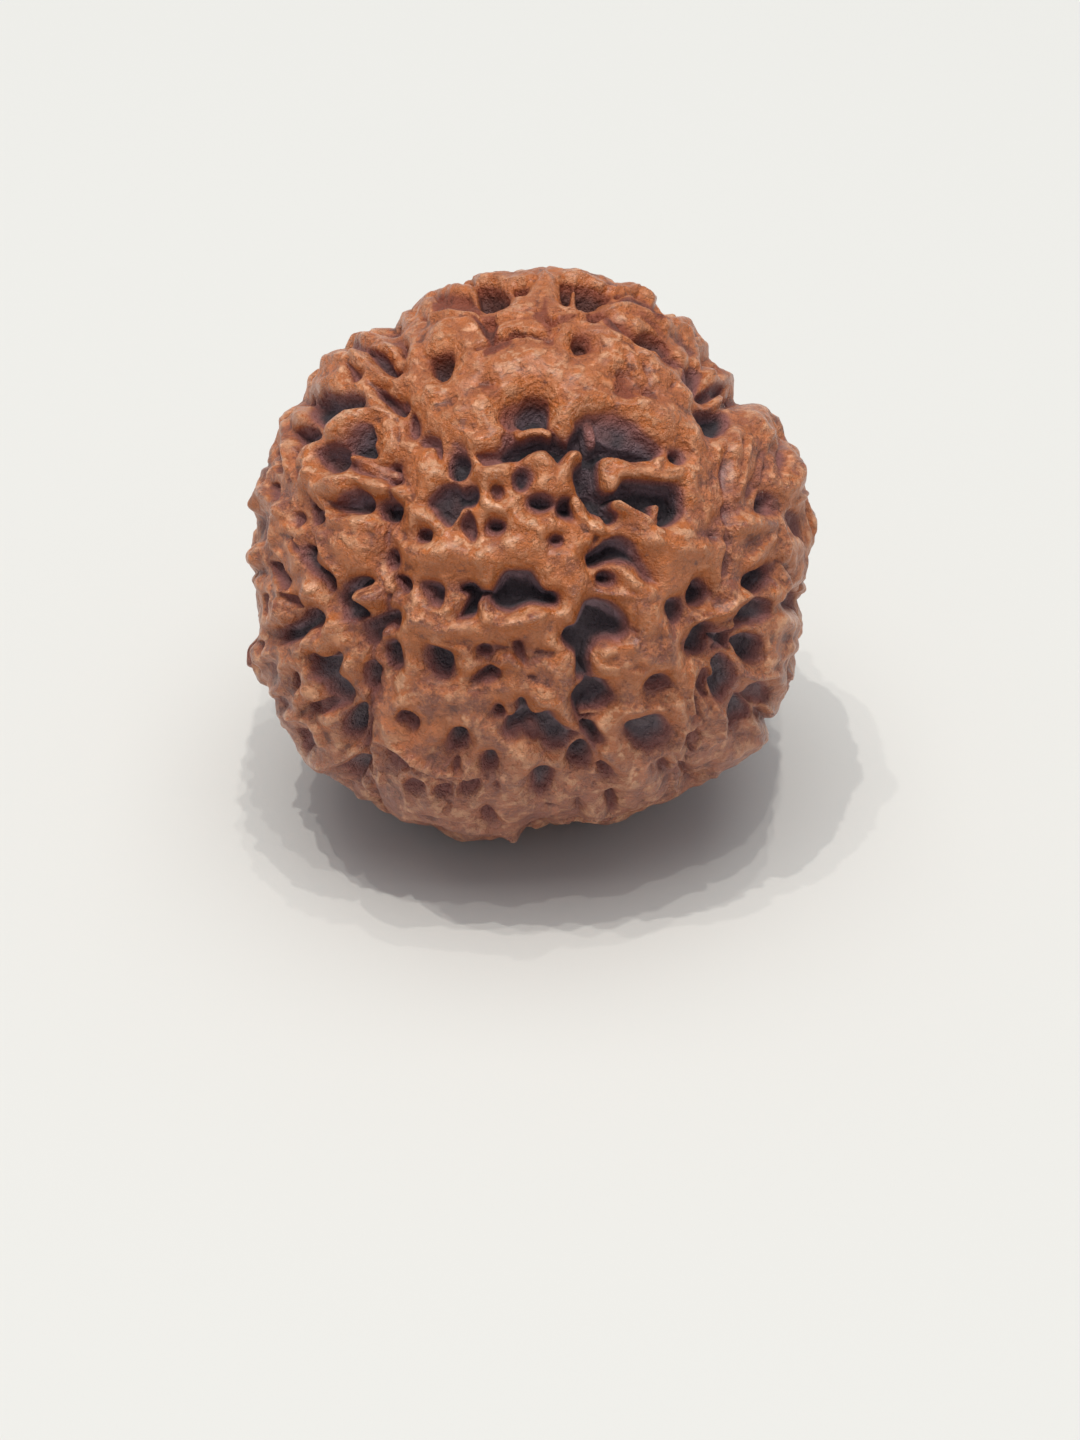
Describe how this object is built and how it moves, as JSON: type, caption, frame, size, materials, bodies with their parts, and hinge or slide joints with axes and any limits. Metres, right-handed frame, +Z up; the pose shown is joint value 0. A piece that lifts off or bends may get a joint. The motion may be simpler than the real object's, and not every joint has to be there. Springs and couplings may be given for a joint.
{
  "type": "rudraksha seed",
  "caption": "Nearly round woody seed stone with grooves from pole to pole, a knobbly skin full of deep pits, and a small flat spot underneath that it rests on.",
  "frame": {"origin": "the centre of the small flat spot that the seed rests on, level with the surface under it, below the middle of the seed's width", "axes": "+Z up through the crown, where the stalk was; -Y towards the side that was pictured; +X to that side's right"},
  "size_m": [0.024, 0.024, 0.0235],
  "materials": {
    "woody_skin": "warm red-brown wood with a satin polish on the worn knobs, fine pale speckle on the flatter tops, darker and redder down the walls of the pits, near black at their floors"
  },
  "bodies": {
    "root": {"rudraksha_seed": "woody_skin"}
  },
  "joints": []
}
